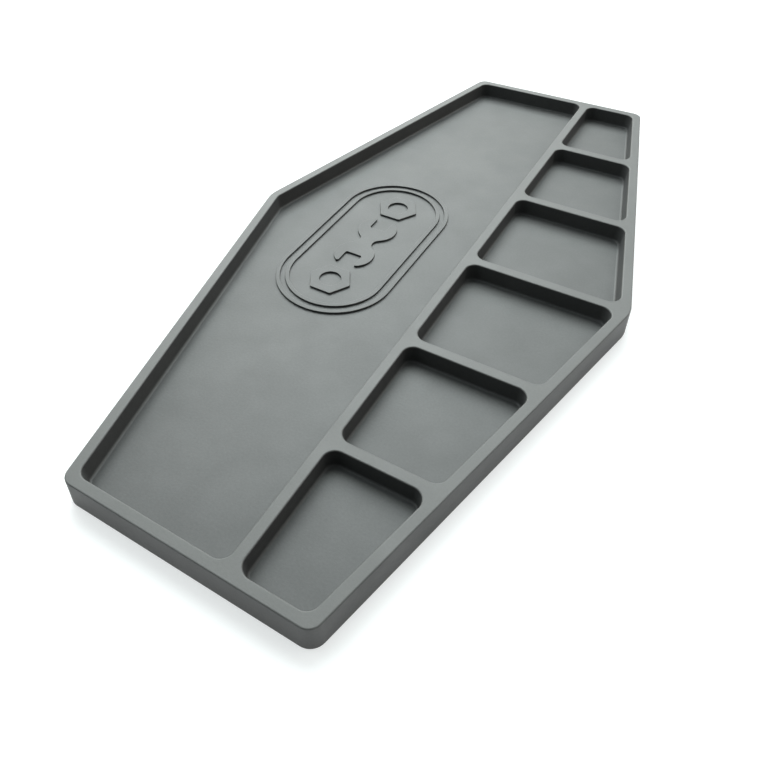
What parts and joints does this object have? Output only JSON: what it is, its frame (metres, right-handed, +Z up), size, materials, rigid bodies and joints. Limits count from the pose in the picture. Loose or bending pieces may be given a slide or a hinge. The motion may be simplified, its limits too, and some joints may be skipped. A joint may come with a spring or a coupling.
{
  "type": "parts sorting tray",
  "caption": "Shallow six-sided soft tray with one wide compartment, a column of small pockets with rounded corners, and a raised tool emblem on its floor.",
  "frame": {"origin": "on the surface the tray rests on, under the middle of its length and width", "axes": "+Z up, +Y along the length towards the head end (pocket 1), +X towards the column of pockets"},
  "size_m": [0.1522, 0.3, 0.01],
  "materials": {
    "rubber": "satin, fine moulded grain"
  },
  "bodies": {
    "root": {"base_plate": "rubber", "outer_wall_right_foot": "rubber", "outer_wall_right_head": "rubber", "outer_wall_head": "rubber", "outer_wall_left_head": "rubber", "outer_wall_left_foot": "rubber", "outer_wall_foot": "rubber", "long_divider": "rubber", "cross_divider_1": "rubber", "cross_divider_2": "rubber", "cross_divider_3": "rubber", "cross_divider_4": "rubber", "cross_divider_5": "rubber", "emblem_outer_border": "rubber", "emblem_inner_border": "rubber", "emblem_spanner": "rubber", "emblem_head_nut": "rubber", "emblem_foot_nut": "rubber"}
  },
  "joints": []
}
